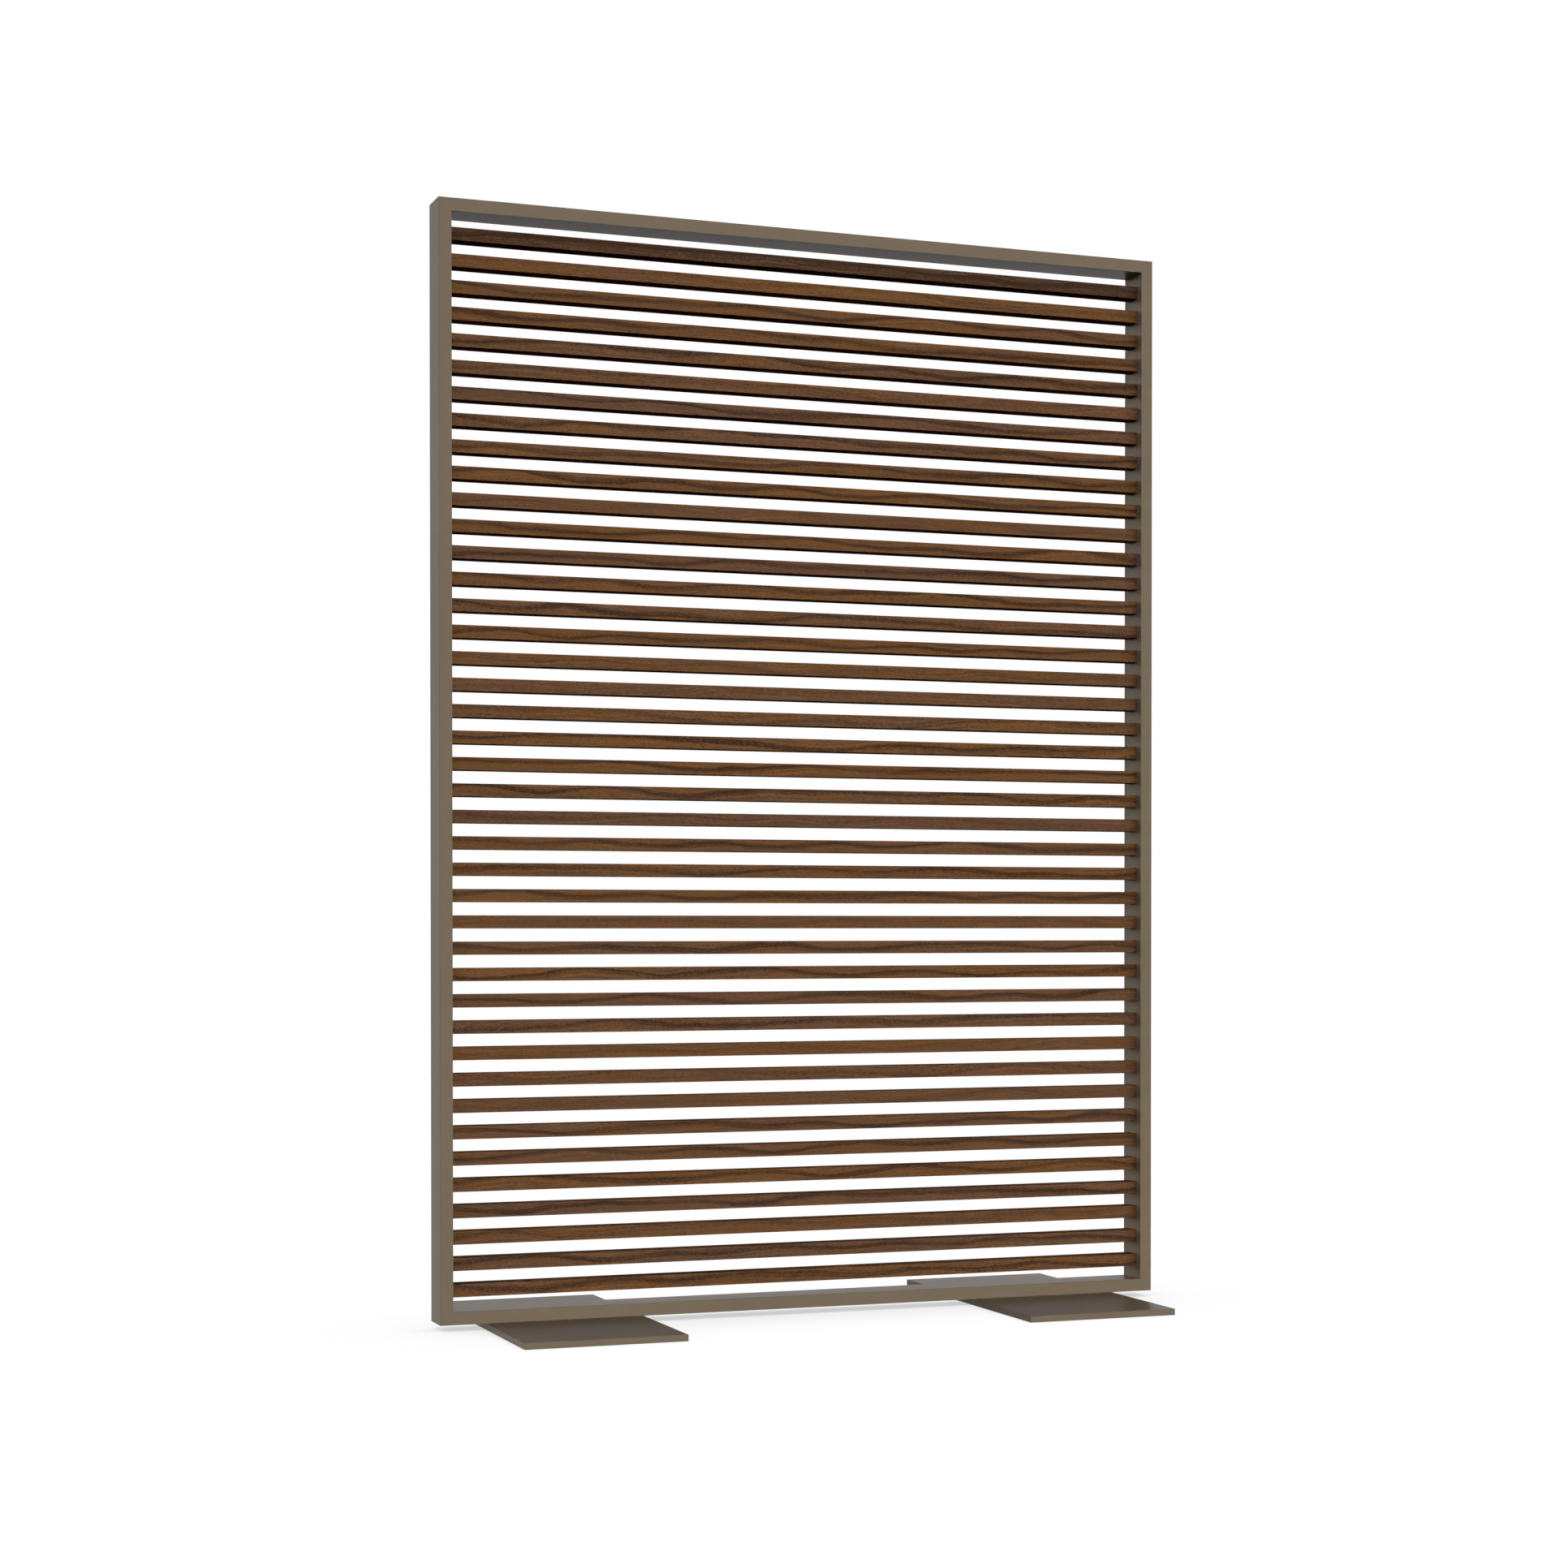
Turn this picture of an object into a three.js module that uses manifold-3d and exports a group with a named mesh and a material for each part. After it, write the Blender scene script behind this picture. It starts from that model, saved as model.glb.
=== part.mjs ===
// Free-standing garden privacy screen: a mitred frame of rectangular tube, filled with level timber slats that
// are tenoned into windows in the posts, standing on two flat steel foot plates.
// Millimetres, +Z up, +X to the right, front towards -Y. The origin is on the ground under the middle of the frame.
import * as THREE from "three";
import { mergeVertices } from "three/addons/utils/BufferGeometryUtils.js";
import Module from "manifold-3d";

const wasm = await Module();
wasm.setup();

// ---- driving sizes ----------------------------------------------------------------------------------------

// Frame tube, the same section for posts and rails.
const frameWidth = 1200; // over the outer faces of the posts
const frameHeight = 1700; // over the outer faces of the rails
const tubeFace = 20; // narrow side, seen from the front
const tubeDepth = 60; // wide side, front to back
const tubeWall = 2;
const tubeCornerRadius = 0.8;
const mitreRelief = 0.02; // each tube is cut back by this along its length, so the mitres meet without a gap to see

// Slats, spread evenly from one rail to the other.
const slatCount = 41;
const slatHeight = 20;
const slatDepth = 30;
const slatEdgeRadius = 1;
const shoulderClearance = 0.3; // between a slat's shoulder and the post

// Tenon at each slat end and the window in the post that takes it.
const tenonHeight = 12;
const tenonDepth = 22;
const tenonReach = 8; // past the post's inner face
const tenonNose = 1; // chamfer round the tenon's tip
const windowClearance = 0.3;

// Corner keys, one L-shaped slice of hollow extrusion inside each mitred corner.
const keyRailLeg = 70; // from the frame's outer corner
const keyTenonClearance = 5; // from the end of the upright leg to the nearest tenon
const keyClearance = 0.3; // to the walls of the tubes
const keyChamfer = 1.5;
const keyWall = 3; // round the cells of the extrusion, and between them
const keyRailCells = 3; // cells along the rail leg; the post leg has one

// Foot plates, under the bottom rail.
const plateWidth = 250;
const plateDepth = 500;
const plateThickness = 10;
const plateInset = 71.5; // from the frame's end to the plate's outer edge
const plateEdgeChamfer = 0.5;

// Tapped bar inside the bottom rail over each plate.
const barEnd = 25; // from the last screw to the bar's end
const barDepth = 40;
const barThickness = 8;
const barClearance = 0.3; // above the rail's lower wall

// Countersunk screws with a hexagon socket, up through plate and rail into the bar.
const screwsPerPlate = 3;
const screwPitch = 85;
const screwRadius = 4;
const screwHeadRadius = 8;
const screwHeadLand = 0.5; // straight rim of the head
const screwRecess = 0.4; // head below the plate's underside
const screwTipChamfer = 0.8;
const screwClearance = 0.3;
const socketAcrossFlats = 5;
const socketDepth = 3;

// ---- worked out from these --------------------------------------------------------------------------------

const clearWidth = frameWidth - 2 * tubeFace;
const clearHeight = frameHeight - 2 * tubeFace;
// Open height between slats, and between an end slat and its rail.
const slatGap = (clearHeight - slatCount * slatHeight) / (slatCount + 1);
const slatPitch = slatHeight + slatGap;
const frameMiddle = plateThickness + frameHeight / 2;
const plateCentre = frameWidth / 2 - plateInset - plateWidth / 2;
const keyPostLeg = tubeFace + slatGap + (slatHeight - tenonHeight) / 2 - keyTenonClearance;
const barLength = (screwsPerPlate - 1) * screwPitch + 2 * barEnd;
const socketRadius = socketAcrossFlats / Math.sqrt(3);
const screwLength = plateThickness - screwRecess + tubeWall + barClearance + barThickness;

const arcSteps = 2; // flats in each eased corner
const roundSteps = 20; // sides of a screw and its holes
const overcut = 1; // a cutter runs past the face it opens

// Height of a slat's middle over the frame's middle; slat 0 is the top one.
function slatLevel(index) {
  return ((slatCount - 1) / 2 - index) * slatPitch;
}

// Distances of the screws of one plate from the plate's middle, along X.
function screwOffsets() {
  return Array.from({ length: screwsPerPlate }, (_, i) => (i - (screwsPerPlate - 1) / 2) * screwPitch);
}

// ---- materials --------------------------------------------------------------------------------------------

const coated = new THREE.MeshStandardMaterial({ color: 0x76695a, roughness: 0.55, metalness: 0.2 });
const timber = new THREE.MeshStandardMaterial({ color: 0x5f422c, roughness: 0.6, metalness: 0 });
const alloy = new THREE.MeshStandardMaterial({ color: 0x9fa1a3, roughness: 0.5, metalness: 0.9 });
const zincSteel = new THREE.MeshStandardMaterial({ color: 0xaeb0b2, roughness: 0.35, metalness: 1 });

// ---- cutting and joining ----------------------------------------------------------------------------------

function toSolid(geometry) {
  const bare = geometry.clone();
  bare.deleteAttribute("normal");
  bare.deleteAttribute("uv");
  const merged = mergeVertices(bare, 1e-4);
  return new wasm.Manifold(
    new wasm.Mesh({
      numProp: 3,
      vertProperties: merged.attributes.position.array,
      triVerts: new Uint32Array(merged.index.array),
    }),
  );
}

function toGeometry(solid) {
  const { vertProperties, triVerts } = solid.getMesh();
  const indexed = new THREE.BufferGeometry();
  indexed.setAttribute("position", new THREE.BufferAttribute(vertProperties, 3));
  indexed.setIndex(new THREE.BufferAttribute(triVerts, 1));
  const flat = indexed.toNonIndexed();
  flat.computeVertexNormals();
  return flat;
}

function cutAway(body, cutters) {
  return toGeometry(cutters.reduce((left, cutter) => left.subtract(toSolid(cutter)), toSolid(body)));
}

// ---- outlines ---------------------------------------------------------------------------------------------

function roundedRectangle(width, height, radius) {
  const x = width / 2 - radius;
  const y = height / 2 - radius;
  const quarter = Math.PI / 2;
  return new THREE.Shape()
    .absarc(x, y, radius, 0, quarter)
    .absarc(-x, y, radius, quarter, 2 * quarter)
    .absarc(-x, -y, radius, 2 * quarter, 3 * quarter)
    .absarc(x, -y, radius, 3 * quarter, 4 * quarter);
}

function rectangle(width, height, kind = THREE.Shape) {
  const x = width / 2;
  const y = height / 2;
  return new kind([
    new THREE.Vector2(x, y),
    new THREE.Vector2(-x, y),
    new THREE.Vector2(-x, -y),
    new THREE.Vector2(x, -y),
  ]);
}

// Outline in (Y, Z) pulled along X, centred on the origin. A chamfer, if given, runs round both ends.
function barAlongX(outline, length, chamfer = 0) {
  const bar = new THREE.ExtrudeGeometry(outline, {
    depth: length - 2 * chamfer,
    curveSegments: arcSteps,
    bevelEnabled: chamfer > 0,
    bevelThickness: chamfer,
    bevelSize: chamfer,
    bevelOffset: -chamfer,
    bevelSegments: 1,
  });
  bar.translate(0, 0, chamfer - length / 2);
  // The outline's own x and y become Y and Z.
  bar.rotateX(Math.PI / 2).rotateZ(Math.PI / 2);
  return bar;
}

// ---- frame ------------------------------------------------------------------------------------------------

// Tube along Z, with its outer face in the plane x = 0, its inner face at x = tubeFace and both ends mitred.
function mitredTube(length) {
  const section = roundedRectangle(tubeFace, tubeDepth, tubeCornerRadius);
  section.holes.push(rectangle(tubeFace - 2 * tubeWall, tubeDepth - 2 * tubeWall, THREE.Path));
  const tube = new THREE.ExtrudeGeometry(section, { depth: 1, curveSegments: arcSteps, bevelEnabled: false });
  tube.translate(tubeFace / 2, 0, 0);
  const place = tube.attributes.position;
  for (let i = 0; i < place.count; i++) {
    const end = length / 2 - place.getX(i) - mitreRelief;
    place.setZ(i, place.getZ(i) > 0.5 ? end : -end);
  }
  tube.computeVertexNormals();
  return tube;
}

// Post with one window through its inner wall for each slat's tenon.
function postGeometry() {
  const height = tenonHeight + 2 * windowClearance;
  const depth = tenonDepth + 2 * windowClearance;
  const windows = Array.from({ length: slatCount }, (_, i) =>
    new THREE.BoxGeometry(tubeWall + 2 * overcut, depth, height).translate(
      tubeFace - tubeWall / 2,
      0,
      slatLevel(i),
    ),
  );
  return cutAway(mitredTube(frameHeight), windows);
}

// Bottom rail, drilled through its outer wall over every screw.
function bottomRailGeometry() {
  const drills = [-plateCentre, plateCentre].flatMap((centre) =>
    screwOffsets().map((offset) =>
      new THREE.CylinderGeometry(
        screwRadius + screwClearance,
        screwRadius + screwClearance,
        tubeWall + 2 * overcut,
        roundSteps,
      )
        .rotateZ(Math.PI / 2)
        .translate(tubeWall / 2, 0, centre + offset),
    ),
  );
  return cutAway(mitredTube(frameWidth), drills);
}

// Cutter for one cell of a corner key, given two opposite corners in X and Z.
function keyCell(x0, z0, x1, z1) {
  const cell = new THREE.BoxGeometry(x1 - x0, tubeDepth, z1 - z0);
  return cell.translate((x0 + x1) / 2, 0, (z0 + z1) / 2);
}

// L-shaped key that bridges both tubes at a corner. The tubes' outer corner is at the origin, one leg runs along
// +X inside the rail and the other along -Z inside the post, and the cells run front to back.
function cornerKeyGeometry() {
  const near = tubeWall + keyClearance;
  const far = tubeFace - tubeWall - keyClearance;
  const c = keyChamfer;
  const outline = new THREE.Shape([
    new THREE.Vector2(near + c, -near),
    new THREE.Vector2(near, -near - c),
    new THREE.Vector2(near, -keyPostLeg + c),
    new THREE.Vector2(near + c, -keyPostLeg),
    new THREE.Vector2(far - c, -keyPostLeg),
    new THREE.Vector2(far, -keyPostLeg + c),
    new THREE.Vector2(far, -far),
    new THREE.Vector2(keyRailLeg - c, -far),
    new THREE.Vector2(keyRailLeg, -far + c),
    new THREE.Vector2(keyRailLeg, -near - c),
    new THREE.Vector2(keyRailLeg - c, -near),
  ]);
  const depth = tubeDepth - 2 * (tubeWall + keyClearance);
  const key = new THREE.ExtrudeGeometry(outline, { depth, bevelEnabled: false });
  // The outline's y becomes Z, and the slice is centred front to back.
  key.rotateX(Math.PI / 2).translate(0, depth / 2, 0);

  const cellPitch = (keyRailLeg - far) / keyRailCells;
  const railCells = Array.from({ length: keyRailCells }, (_, i) => {
    const start = far + i * cellPitch;
    return keyCell(start, -far + keyWall, start + cellPitch - keyWall, -near - keyWall);
  });
  const postCell = keyCell(near + keyWall, -keyPostLeg + keyWall, far - keyWall, -far);
  return cutAway(key, [postCell, ...railCells]);
}

function makeFrame() {
  const frame = new THREE.Group();
  frame.position.z = plateThickness;
  const post = postGeometry();
  const half = frameWidth / 2;

  const leftPost = new THREE.Mesh(post, coated);
  leftPost.name = "left_post";
  leftPost.position.set(-half, 0, frameHeight / 2);

  const rightPost = new THREE.Mesh(post, coated);
  rightPost.name = "right_post";
  rightPost.position.set(half, 0, frameHeight / 2);
  rightPost.rotation.z = Math.PI;

  const topRail = new THREE.Mesh(mitredTube(frameWidth), coated);
  topRail.name = "top_rail";
  topRail.position.z = frameHeight;
  topRail.rotation.y = Math.PI / 2;

  const bottomRail = new THREE.Mesh(bottomRailGeometry(), coated);
  bottomRail.name = "bottom_rail";
  bottomRail.rotation.y = -Math.PI / 2;

  frame.add(leftPost, rightPost, topRail, bottomRail, ...makeCornerKeys());
  return frame;
}

// One key in each corner: the same slice, turned half round for the right side and upside down for the bottom.
function makeCornerKeys() {
  const slice = cornerKeyGeometry();
  const half = frameWidth / 2;
  const corners = [
    { name: "top_left_corner_key", x: -half, z: frameHeight, turn: [0, 0, 0] },
    { name: "top_right_corner_key", x: half, z: frameHeight, turn: [0, 0, Math.PI] },
    { name: "bottom_left_corner_key", x: -half, z: 0, turn: [Math.PI, 0, 0] },
    { name: "bottom_right_corner_key", x: half, z: 0, turn: [0, Math.PI, 0] },
  ];
  return corners.map(({ name, x, z, turn }) => {
    const key = new THREE.Mesh(slice, alloy);
    key.name = name;
    key.position.set(x, 0, z);
    key.rotation.set(...turn);
    return key;
  });
}

// ---- slats ------------------------------------------------------------------------------------------------

// Slat with eased edges and a chamfer-nosed tenon at each end, centred on the origin.
function slatGeometry() {
  const body = barAlongX(
    roundedRectangle(slatDepth, slatHeight, slatEdgeRadius),
    clearWidth - 2 * shoulderClearance,
  );
  const tenons = barAlongX(rectangle(tenonDepth, tenonHeight), clearWidth + 2 * tenonReach, tenonNose);
  return toGeometry(toSolid(body).add(toSolid(tenons)));
}

function makeSlats() {
  const slats = new THREE.Group();
  slats.position.z = frameMiddle;
  const shape = slatGeometry();
  for (let i = 0; i < slatCount; i++) {
    const slat = new THREE.Mesh(shape, timber);
    slat.name = "slat_" + String(i + 1).padStart(2, "0");
    slat.position.z = slatLevel(i);
    slats.add(slat);
  }
  return slats;
}

// ---- feet -------------------------------------------------------------------------------------------------

// Revolved form of a screw, or of the hole that clears it, with its head's face at z = 0 and its tip upwards.
function screwForm(clearance, length, below, tipChamfer) {
  const shank = screwRadius + clearance;
  const head = screwHeadRadius + clearance;
  const outline = [
    new THREE.Vector2(0, -below),
    new THREE.Vector2(head, -below),
    new THREE.Vector2(head, screwHeadLand),
    new THREE.Vector2(shank, screwHeadLand + head - shank),
    new THREE.Vector2(shank, length - tipChamfer),
    new THREE.Vector2(shank - tipChamfer, length),
    new THREE.Vector2(0, length),
  ];
  return new THREE.LatheGeometry(outline, roundSteps).rotateX(Math.PI / 2);
}

function screwGeometry() {
  const socket = new THREE.CylinderGeometry(socketRadius, socketRadius, socketDepth + overcut, 6)
    .rotateX(Math.PI / 2)
    .translate(0, 0, (socketDepth - overcut) / 2);
  return cutAway(screwForm(0, screwLength, 0, screwTipChamfer), [socket]);
}

// Plate with its upper face in the plane z = 0, chamfered edges and a countersunk hole for each screw.
function plateGeometry() {
  const outline = rectangle(plateWidth, plateDepth);
  const slab = new THREE.ExtrudeGeometry(outline, {
    depth: plateThickness - 2 * plateEdgeChamfer,
    bevelThickness: plateEdgeChamfer,
    bevelSize: plateEdgeChamfer,
    bevelOffset: -plateEdgeChamfer,
    bevelSegments: 1,
  }).translate(0, 0, plateEdgeChamfer - plateThickness);
  const holes = screwOffsets().map((x) =>
    screwForm(screwClearance, plateThickness + overcut, screwRecess + overcut, 0).translate(
      x,
      0,
      screwRecess - plateThickness,
    ),
  );
  return cutAway(slab, holes);
}

// Tapped bar with its lower face in the plane z = 0.
function anchorBarGeometry() {
  const bar = new THREE.BoxGeometry(barLength, barDepth, barThickness).translate(0, 0, barThickness / 2);
  const radius = screwRadius + screwClearance;
  const holes = screwOffsets().map((x) =>
    new THREE.CylinderGeometry(radius, radius, barThickness + 2 * overcut, roundSteps)
      .rotateX(Math.PI / 2)
      .translate(x, 0, barThickness / 2),
  );
  return cutAway(bar, holes);
}

function makeFoot(side, x) {
  const foot = new THREE.Group();
  foot.position.x = x;

  const plate = new THREE.Mesh(plateGeometry(), coated);
  plate.name = side + "_foot_plate";
  plate.position.z = plateThickness;

  const bar = new THREE.Mesh(anchorBarGeometry(), zincSteel);
  bar.name = side + "_anchor_bar";
  bar.position.z = plateThickness + tubeWall + barClearance;

  foot.add(plate, bar);
  const shape = screwGeometry();
  screwOffsets().forEach((offset, i) => {
    const screw = new THREE.Mesh(shape, zincSteel);
    screw.name = side + "_foot_screw_" + (i + 1);
    screw.position.set(offset, 0, screwRecess);
    foot.add(screw);
  });
  return foot;
}

// ---- assembly ---------------------------------------------------------------------------------------------

const screen = new THREE.Group();
screen.add(makeFrame(), makeSlats(), makeFoot("left", -plateCentre), makeFoot("right", plateCentre));

export default screen;
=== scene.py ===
"""Looks of a free-standing garden privacy screen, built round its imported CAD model.

Everything is in metres, in the frame of the CAD model: +Z up, +X to the right, the front towards -Y,
the origin on the ground under the middle of the screen.
"""

import math

import bpy
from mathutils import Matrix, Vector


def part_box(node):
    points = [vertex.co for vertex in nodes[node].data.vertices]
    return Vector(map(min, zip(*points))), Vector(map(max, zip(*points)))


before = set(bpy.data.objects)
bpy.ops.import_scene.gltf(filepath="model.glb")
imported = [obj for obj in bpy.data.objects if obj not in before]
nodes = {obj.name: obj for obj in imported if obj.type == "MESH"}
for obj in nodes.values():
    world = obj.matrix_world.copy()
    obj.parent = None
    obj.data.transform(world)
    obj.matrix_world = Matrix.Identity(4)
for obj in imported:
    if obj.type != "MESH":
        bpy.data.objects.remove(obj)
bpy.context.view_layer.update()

MM = 0.001
NOISE_RANGE = (0.3, 0.7)  # in which nearly all of a noise lies


def linear(red, green, blue):
    """A colour given as 0 to 255 sRGB values, as the linear values that a shader takes."""
    return tuple(
        v / 12.92 if v <= 0.04045 else ((v + 0.055) / 1.055) ** 2.4
        for v in (red / 255, green / 255, blue / 255)
    ) + (1.0,)


# ---- shader building ------------------------------------------------------------------------------


class Tree:
    """Adds nodes to a node tree. A socket given as an input is linked, and any other value is set on it."""

    def __init__(self, owner):
        owner.use_nodes = True
        self.tree = owner.node_tree
        self.tree.nodes.clear()

    def connect(self, socket, value):
        if isinstance(value, bpy.types.NodeSocket):
            self.tree.links.new(value, socket)
        else:
            socket.default_value = value

    def add(self, kind, inputs=(), **settings):
        node = self.tree.nodes.new(kind)
        for name, value in settings.items():
            setattr(node, name, value)
        for name, value in dict(inputs).items():
            self.connect(node.inputs[name], value)
        return node

    def math(self, operation, first, second=0.0, third=0.0):
        node = self.add("ShaderNodeMath", {0: first, 1: second, 2: third}, operation=operation)
        return node.outputs[0]

    def vector(self, x, y, z):
        return self.add("ShaderNodeCombineXYZ", {"X": x, "Y": y, "Z": z}).outputs[0]

    def noise(self, place, detail=2.0, roughness=0.5):
        """Noise round 0.5 at a place that is already in the noise's own units."""
        inputs = {"Vector": place, "Scale": 1.0, "Detail": detail, "Roughness": roughness}
        return self.add("ShaderNodeTexNoise", inputs).outputs["Fac"]

    def spread(self, value, low, high, to_low=0.0, to_high=1.0):
        """Value eased from low..high onto to_low..to_high, and held at the ends."""
        inputs = {"Value": value, "From Min": low, "From Max": high, "To Min": to_low, "To Max": to_high}
        node = self.add("ShaderNodeMapRange", inputs, interpolation_type="SMOOTHSTEP")
        return node.outputs["Result"]

    def mix(self, factor, first, second):
        """Colour between two others. A mix node keeps its colour sockets at places 6 and 7."""
        node = self.add("ShaderNodeMix", data_type="RGBA")
        for place, value in ((0, factor), (6, first), (7, second)):
            self.connect(node.inputs[place], value)
        return node.outputs[2]

    def bump(self, height, distance, over=None):
        """Relief from a height, on top of another relief where one is given."""
        inputs = {"Height": height, "Distance": distance}
        if over is not None:
            inputs["Normal"] = over
        return self.add("ShaderNodeBump", inputs).outputs[0]

    def surface(self, **inputs):
        shader = self.add("ShaderNodeBsdfPrincipled", {k.replace("_", " "): v for k, v in inputs.items()})
        self.add("ShaderNodeOutputMaterial", {"Surface": shader.outputs[0]})


def new_material(name):
    material = bpy.data.materials.new(name)
    return material, Tree(material)


def place_of(tree):
    """X, Y and Z of the shaded point in the CAD frame."""
    coordinates = tree.add("ShaderNodeTexCoord").outputs["Object"]
    split = tree.add("ShaderNodeSeparateXYZ", {0: coordinates})
    return split.outputs[0], split.outputs[1], split.outputs[2]


# ---- powder coat ----------------------------------------------------------------------------------

CLOUD_SIZE = 90 * MM  # of the faint patches in the coat's colour
PEEL_SIZE = 1.4 * MM
PEEL_DEPTH = 0.05 * MM
GRIT_SIZE = 0.35 * MM
GRIT_DEPTH = 0.02 * MM


def powder_coat():
    """Satin taupe powder coat: an even colour with a fine orange peel."""
    material, t = new_material("taupe_powder_coat")
    x, y, z = place_of(t)
    point = t.vector(x, y, z)

    def grains(size, detail):
        scaled = t.add("ShaderNodeVectorMath", {0: point, "Scale": 1 / size}, operation="SCALE")
        return t.noise(scaled.outputs[0], detail)

    cloud = t.spread(grains(CLOUD_SIZE, 2.0), *NOISE_RANGE)
    peel = grains(PEEL_SIZE, 1.0)
    grit = grains(GRIT_SIZE, 1.0)
    t.surface(
        Base_Color=t.mix(cloud, linear(119, 105, 87), linear(121, 107, 89)),
        Roughness=t.spread(grit, *NOISE_RANGE, 0.30, 0.36),
        IOR=1.5,
        Specular_IOR_Level=0.035,
        Normal=t.bump(peel, PEEL_DEPTH, over=t.bump(grit, GRIT_DEPTH)),
    )
    return material


# ---- walnut ---------------------------------------------------------------------------------------

# Layers of the figure: how far each one's marks run along the slat and across the rings, the noise's
# detail, and how much it swings the tone.
FIGURE = (
    (300 * MM, 1.6 * MM, 2.0, 1.04),  # long streaks
    (40 * MM, 1.2 * MM, 2.0, 0.58),  # shorter ones between them
    (140 * MM, 9.0 * MM, 2.0, 0.32),  # broad pale and dark parts
    (6.5 * MM, 1.2 * MM, 1.0, 0.70),  # flecks
    (1.5 * MM, 1.0 * MM, 0.0, 0.86),  # speckle
)
FIGURE_ROUGHNESS = 0.6  # how much of each noise is in its fine detail
# The same for how the rings wander, and how far each layer pushes a ring.
WANDER = (
    (165 * MM, 85 * MM, 0.0, 34 * MM),  # slowly along the whole slat
    (42 * MM, 25 * MM, 1.0, 5 * MM),  # a small quick waver
)
# The same for where the timber is redder, and how much each layer swings the hue.
HUE = (
    (260 * MM, 14 * MM, 1.0, 1.2),
    (25 * MM, 3 * MM, 1.0, 0.9),
)
HUE_APART = 0.6  # how much the hue differs from slat to slat at most
HUE_START = 0.2  # of the most golden slat before those layers, where 0 is golden and 1 is red
PALE_TONE = 0.57  # of the timber where nothing darkens it
TOP_SLAT_TONE_AND_SHADE = 0.36  # how much darker the top slat is, partly a darker timber and partly painted shade from the top rail above it

RING_WIDTH = 27 * MM  # from one dark heartwood band to the next
BAND_DEPTH = 0.43  # how much a band darkens the tone
BAND_CORE = 0.02  # of a ring's width from a band's middle, within which it is full
BAND_EDGE = 0.22  # and at which it has ended
BAND_START = 0.2  # a shift of all the bands, in rings
BANDS_APART = 0.5  # how far the bands shift from slat to slat at most, in rings
FAINT_DRAWS = (0.15, 0.45)  # bands are faint in slats that draw less than the first, full above the other
FAINT_LOSS = 0.8  # the share of its depth that a faint band loses
BREAK_SIZE = (200 * MM, 11 * MM)  # of the places where a band is weaker, along the slat and across it
BREAK_NOISE = (0.35, 0.5)  # the noise below which a band is weaker, and above which it is whole
BREAK_LEFT = 0.7  # the share of a band's depth that is left there

LOG_LENGTH = 23.0  # of which each slat is cut at its own place
STEEPEST_RING = 0.6  # the steepest slope of the rings from front to back, up or down
FRONT_TO_BACK = 18.0  # how fast the figure changes through a slat's depth, in noise units for each metre
SLATS_APART = 9.0  # how far apart in the noise two slats lie at most
DICE_OFFSET = 0.37
SECOND_DRAW = 5.7  # makes a second number out of one of the dice

DARK_GOLDEN = linear(61, 42, 28)
PALE_GOLDEN = linear(132, 91, 53)
DARK_RED = linear(58, 44, 37)
PALE_RED = linear(121, 88, 64)
PORE = linear(40, 26, 18)
PORE_SIZE = (13 * MM, 0.43 * MM)  # along the slat and across it
PORE_NOISE = (0.64, 0.72)  # the noise at which a pore starts, and from which it is full
PORE_SHARE = 0.5  # how much of a pore's colour shows in it
FIBRE_SIZE = (14 * MM, 0.3 * MM)
FIBRE_DEPTH = 0.06 * MM


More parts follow.
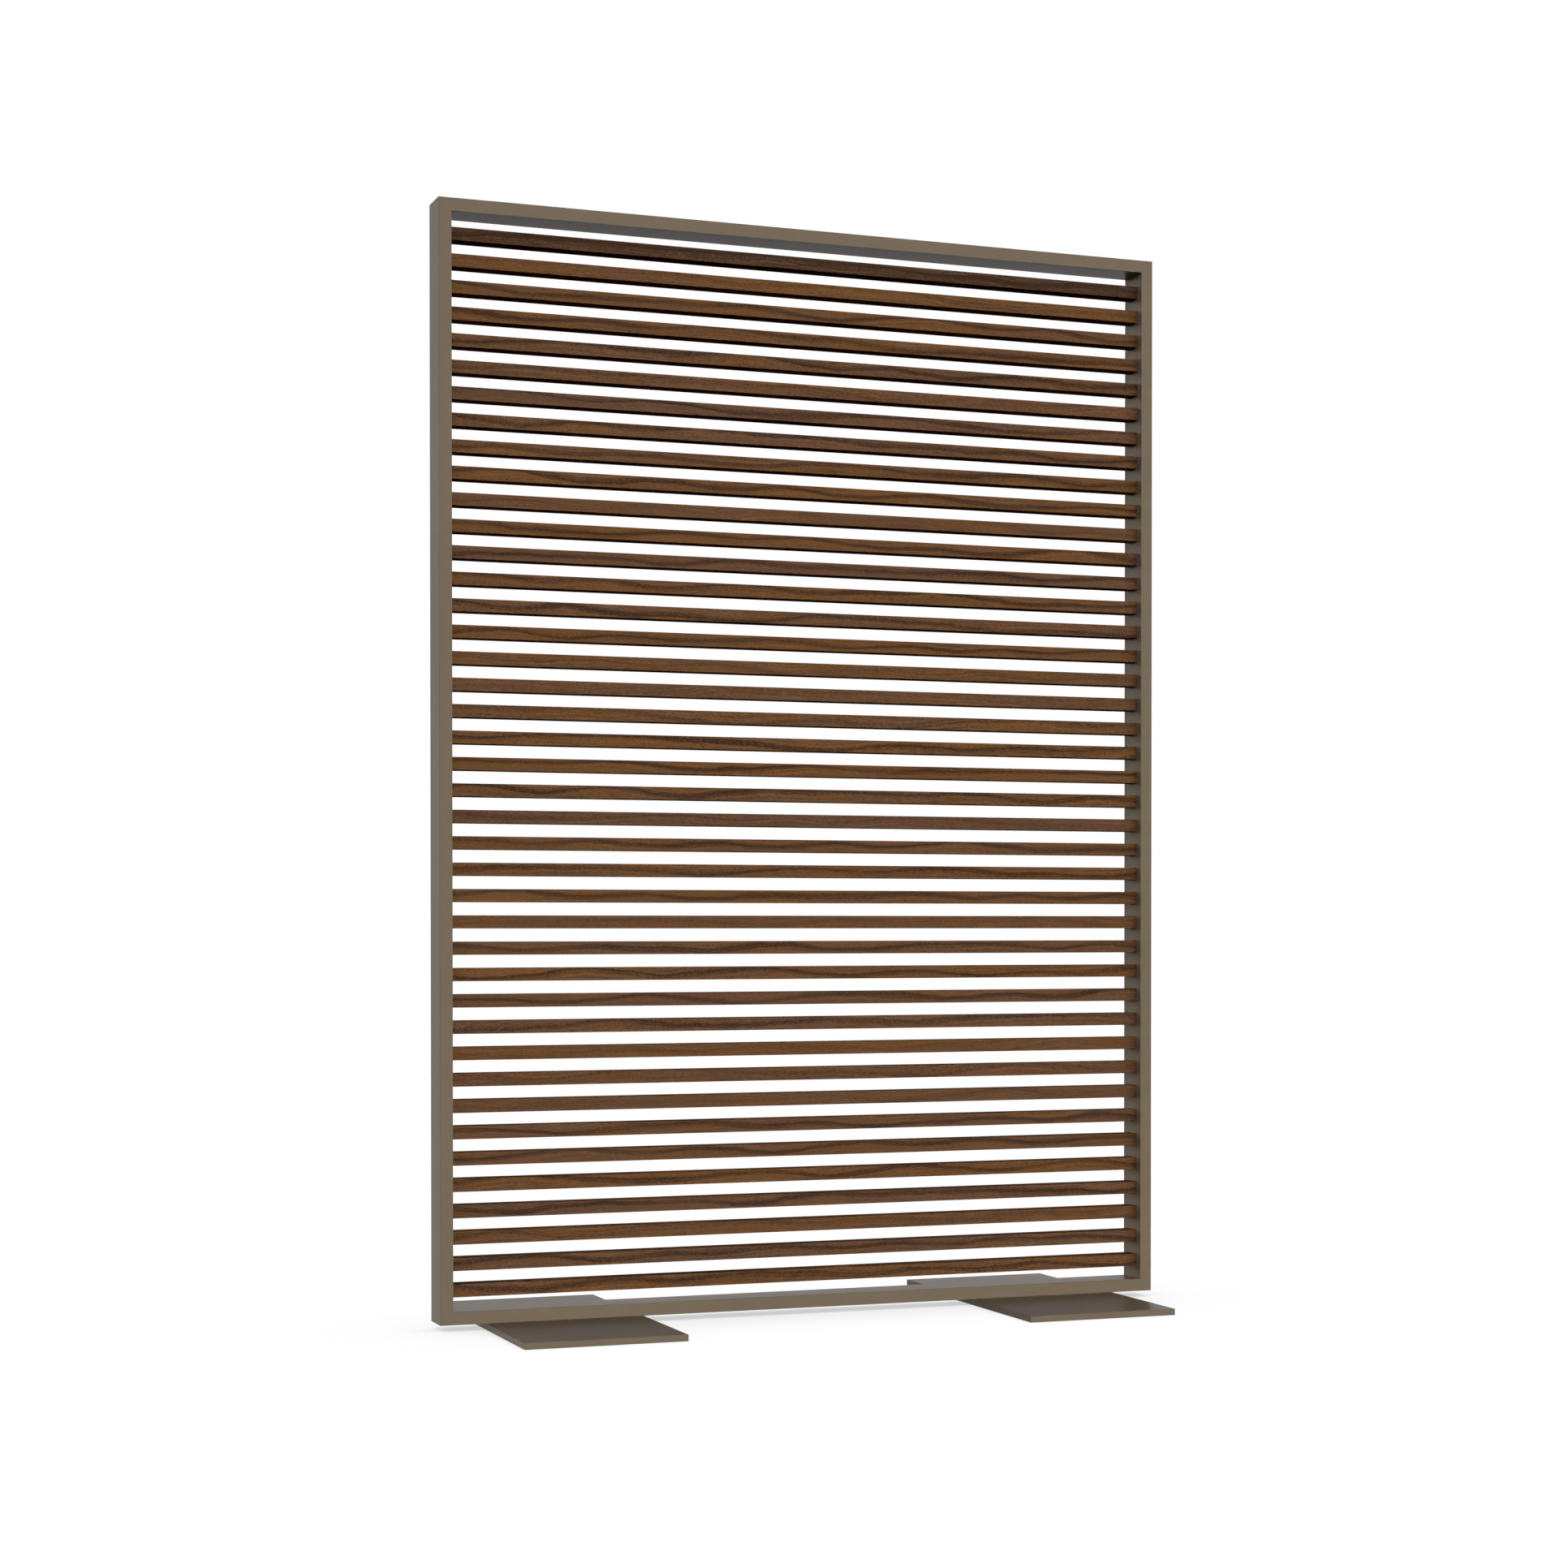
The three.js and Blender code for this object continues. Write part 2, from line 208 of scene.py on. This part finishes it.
def walnut():
    """Oiled walnut-brown timber.

    Every slat is its own slice of the log, found from its height on the screen.
    """
    material, t = new_material("walnut_slats")
    x, y, z = place_of(t)
    first_slat, second_slat = sorted(name for name in nodes if name.startswith("slat_"))[:2]
    top_low, top_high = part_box(first_slat)
    next_low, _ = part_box(second_slat)
    pitch = top_low.z - next_low.z
    top_middle = (top_low.z + top_high.z) / 2

    # Row number from the top, and the height above the slat's own middle.
    row = t.math("ROUND", t.math("DIVIDE", t.math("SUBTRACT", top_middle, z), pitch))
    height = t.math("ADD", t.math("MULTIPLY", row, pitch), t.math("SUBTRACT", z, top_middle))
    seed = t.math("ADD", row, DICE_OFFSET)
    dice = t.add("ShaderNodeTexWhiteNoise", {"W": seed}, noise_dimensions="1D")
    first, second, third = t.add("ShaderNodeSeparateColor", {0: dice.outputs["Color"]}).outputs

    # Place in the log: along the grain, across the rings and round them.
    along = t.math("MULTIPLY_ADD", first, LOG_LENGTH, x)
    tilt = t.math("MULTIPLY_ADD", second, 2 * STEEPEST_RING, -STEEPEST_RING)
    across = t.math("MULTIPLY_ADD", y, tilt, height)
    round_ring = t.math("MULTIPLY_ADD", y, FRONT_TO_BACK, t.math("MULTIPLY", third, SLATS_APART))

    def grain(length, width, depth, detail=2.0):
        """Noise stretched along the slat; depth is the place across the rings."""
        place = t.vector(t.math("DIVIDE", along, length), t.math("DIVIDE", depth, width), round_ring)
        return t.noise(place, detail, FIGURE_ROUGHNESS)

    def swung(value, layers, depth):
        """A value with layers of grain added to it, each as a swing round 0."""
        for length, width, detail, share in layers:
            swing = t.math("MULTIPLY_ADD", grain(length, width, depth, detail), share, -0.5 * share)
            value = t.math("ADD", value, swing)
        return value

    ring = swung(across, WANDER, across)

    # Soft dark heartwood bands, which are faint in some slats.
    turns = t.math("MULTIPLY_ADD", ring, 1 / RING_WIDTH, BAND_START)
    turns = t.math("MULTIPLY_ADD", second, BANDS_APART, turns)
    off_band = t.math("ABSOLUTE", t.math("SUBTRACT", t.math("FRACT", turns), 0.5))
    band = t.spread(off_band, BAND_CORE, BAND_EDGE, BAND_DEPTH, 0.0)
    draw = t.math("FRACT", t.math("MULTIPLY", second, SECOND_DRAW))
    kept = t.math("SUBTRACT", 1.0, t.spread(draw, *FAINT_DRAWS, FAINT_LOSS, 0.0))
    unbroken = t.spread(grain(*BREAK_SIZE, ring), *BREAK_NOISE, BREAK_LEFT, 1.0)
    band = t.math("MULTIPLY", t.math("MULTIPLY", band, kept), unbroken)

    # Tone from 0, dark, to 1, pale.
    top_slat = t.math("LESS_THAN", row, 0.5)
    tone = t.math("SUBTRACT", PALE_TONE, band)
    # The top slat is darker all over: partly a darker timber, partly painted shade from the top rail above
    # it.
    tone = t.math("SUBTRACT", tone, t.math("MULTIPLY", top_slat, TOP_SLAT_TONE_AND_SHADE))
    tone = swung(tone, FIGURE, ring)
    tone = t.math("MAXIMUM", t.math("MINIMUM", tone, 1.0), 0.0)

    # Some slats are golden and others a greyer red, with a little of both in each.
    hue = t.math("MULTIPLY_ADD", third, HUE_APART, HUE_START)
    red = t.spread(swung(hue, HUE, ring), 0.0, 1.0)
    dark = t.mix(red, DARK_GOLDEN, DARK_RED)
    pale = t.mix(red, PALE_GOLDEN, PALE_RED)

    fibres = grain(*FIBRE_SIZE, ring)
    pores = t.spread(grain(*PORE_SIZE, ring, 1.0), *PORE_NOISE)
    t.surface(
        Base_Color=t.mix(t.math("MULTIPLY", pores, PORE_SHARE), t.mix(tone, dark, pale), PORE),
        Roughness=t.spread(fibres, *NOISE_RANGE, 0.70, 0.85),
        IOR=1.45,
        Specular_IOR_Level=0.0,
        Normal=t.bump(t.math("SUBTRACT", fibres, pores), FIBRE_DEPTH),
    )
    return material


# ---- bare metal -----------------------------------------------------------------------------------

LINES_ACROSS = 2600.0  # noise for each metre across the drawing or turning lines
LINES_ALONG = 60.0  # and along them
LINE_DEPTH = 0.01 * MM
LINE_SHADE = 0.88  # how bright a line is beside the metal between the lines
SMOOTHER = 0.06  # how much the roughness falls between the lines
ROUGHER = 0.08  # and rises in them


def bare_metal(name, colour, roughness, along):
    """Bright metal with fine drawing or turning lines that run along one axis."""
    material, t = new_material(name)
    scales = [LINES_ALONG if axis == along else LINES_ACROSS for axis in "xyz"]
    parts = [t.math("MULTIPLY", value, scale) for value, scale in zip(place_of(t), scales)]
    lines = t.noise(t.vector(*parts))
    shade = linear(*(v * LINE_SHADE for v in colour))
    t.surface(
        Base_Color=t.mix(t.spread(lines, *NOISE_RANGE), linear(*colour), shade),
        Metallic=1.0,
        Roughness=t.spread(lines, *NOISE_RANGE, roughness - SMOOTHER, roughness + ROUGHER),
        Normal=t.bump(lines, LINE_DEPTH),
    )
    return material


def dress():
    """Gives every CAD node its material, by a word in its name."""
    coat = powder_coat()
    material_by_word = {
        "post": coat,
        "rail": coat,
        "foot_plate": coat,
        "slat": walnut(),
        "corner_key": bare_metal("extruded_alloy", (196, 197, 199), 0.42, along="y"),
        "anchor_bar": bare_metal("zinc_plate", (186, 188, 190), 0.36, along="x"),
        "foot_screw": bare_metal("stainless", (190, 188, 184), 0.28, along="z"),
    }
    for name, piece in nodes.items():
        found = [material for word, material in material_by_word.items() if word in name]
        piece.data.materials.clear()
        piece.data.materials.append(found[0])


# ---- stage ----------------------------------------------------------------------------------------

FLOOR_REACH = 30.0
SHADOW_REACH = 0.25  # how near a thing has to be to shade the floor
SHADOW_DEPTH = 0.44  # how dark the floor gets where it is wholly covered
SHADOW_POWER = 1.4  # how quickly the shadow fades, where 1 is as the covering does
FLOOR_BOUNCE = 0.02  # how much of the light the floor throws back onto the object

WHITE = (1.0, 1.0, 1.0, 1.0)
GLOW_LIGHT = 11.45  # of the glow low round the horizon at its brightest, in front of the object
GLOW_MIDDLE = 0.16  # the height at which the glow is brightest, as the sine of the elevation
GLOW_TOP = 0.35  # and that at which it has faded out
SIDE_SHARE = 0.40  # of that light at the left and right
BACK_SHARE = 0.75  # of that light behind
FADE_START = -0.8  # where it starts to fade towards the back, from -1 in front to 1 behind
FADE_END = 0.1
CROSS_LIGHT = 0.47  # the share that the front right and the back left gain, and the other corners lose


def seen_directly(tree):
    """1 for rays from the camera and in reflections, and 0 for the light that falls on surfaces."""
    path = tree.add("ShaderNodeLightPath").outputs
    mirrored = tree.math("MAXIMUM", path["Is Glossy Ray"], path["Is Transmission Ray"])
    return tree.math("MAXIMUM", path["Is Camera Ray"], mirrored)


def make_floor():
    """Pale floor that keeps a soft shadow round what stands on it."""
    bpy.ops.mesh.primitive_plane_add(size=2 * FLOOR_REACH)
    floor = bpy.context.object
    floor.name = "floor"
    material, t = new_material("pale_floor")
    sky = t.add("ShaderNodeAmbientOcclusion", {"Distance": SHADOW_REACH}, samples=12)
    covered = t.math("POWER", t.math("SUBTRACT", 1.0, sky.outputs["AO"]), SHADOW_POWER)
    level = t.math("MULTIPLY_ADD", covered, -SHADOW_DEPTH, 1.0)
    grey = t.add("ShaderNodeCombineColor", {0: level, 1: level, 2: level})
    shown = t.add("ShaderNodeEmission", {"Color": grey.outputs[0]})
    unlit = t.add("ShaderNodeBsdfDiffuse", {"Color": (FLOOR_BOUNCE, FLOOR_BOUNCE, FLOOR_BOUNCE, 1.0)})
    blend = t.add("ShaderNodeMixShader", {0: seen_directly(t), 1: unlit.outputs[0], 2: shown.outputs[0]})
    t.add("ShaderNodeOutputMaterial", {"Surface": blend.outputs[0]})
    floor.data.materials.append(material)


def make_light():
    """White surroundings to the eye, and a soft glow low round the object that lights it."""
    world = bpy.data.worlds.new("studio")
    bpy.context.scene.world = world
    world.cycles.sampling_method = "NONE"  # or reflections would show the falling light besides the white
    t = Tree(world)
    direction = t.add("ShaderNodeTexCoord").outputs["Generated"]
    right, back, up = t.add("ShaderNodeSeparateXYZ", {0: direction}).outputs
    glow = t.spread(up, GLOW_MIDDLE, GLOW_TOP, GLOW_LIGHT, 0.0)
    shares = (
        t.spread(up, 0.0, GLOW_MIDDLE),
        t.math("MULTIPLY_ADD", t.math("MULTIPLY", back, back), 1 - SIDE_SHARE, SIDE_SHARE),
        t.math("MULTIPLY_ADD", t.math("MULTIPLY", right, back), -2 * CROSS_LIGHT, 1.0),
        t.spread(back, FADE_START, FADE_END, 1.0, BACK_SHARE),
    )
    for share in shares:
        glow = t.math("MULTIPLY", glow, share)
    falling = t.add("ShaderNodeBackground", {"Color": WHITE, "Strength": glow})
    shown = t.add("ShaderNodeBackground", {"Color": WHITE, "Strength": 1.0})
    blend = t.add("ShaderNodeMixShader", {0: seen_directly(t), 1: falling.outputs[0], 2: shown.outputs[0]})
    t.add("ShaderNodeOutputWorld", {"Surface": blend.outputs[0]})


# ---- camera ---------------------------------------------------------------------------------------

# Measured in the photograph, whose side is 1932 pixels: the camera's place, its aim and its lens.
PHOTO_SIDE = 1932
CAMERA_PLACE = (-1.6202, -4.3183, 0.6146)
TURN_RIGHT = math.radians(20.973)
TILT_DOWN = math.radians(0.725)
FOCAL_PIXELS = 3572.8
CENTRE_PIXEL = (1018.0, 1185.5)
SENSOR_WIDTH = 36.0


def make_camera():
    data = bpy.data.cameras.new("camera")
    data.sensor_width = SENSOR_WIDTH
    data.lens = SENSOR_WIDTH * FOCAL_PIXELS / PHOTO_SIDE
    data.shift_x = (PHOTO_SIDE / 2 - CENTRE_PIXEL[0]) / PHOTO_SIDE
    data.shift_y = (CENTRE_PIXEL[1] - PHOTO_SIDE / 2) / PHOTO_SIDE
    camera = bpy.data.objects.new("camera", data)
    camera.location = CAMERA_PLACE
    camera.rotation_euler = (math.pi / 2 - TILT_DOWN, 0.0, -TURN_RIGHT)
    bpy.context.scene.collection.objects.link(camera)
    bpy.context.scene.camera = camera


dress()
make_floor()
make_light()
make_camera()
bpy.context.scene.view_settings.view_transform = "Standard"
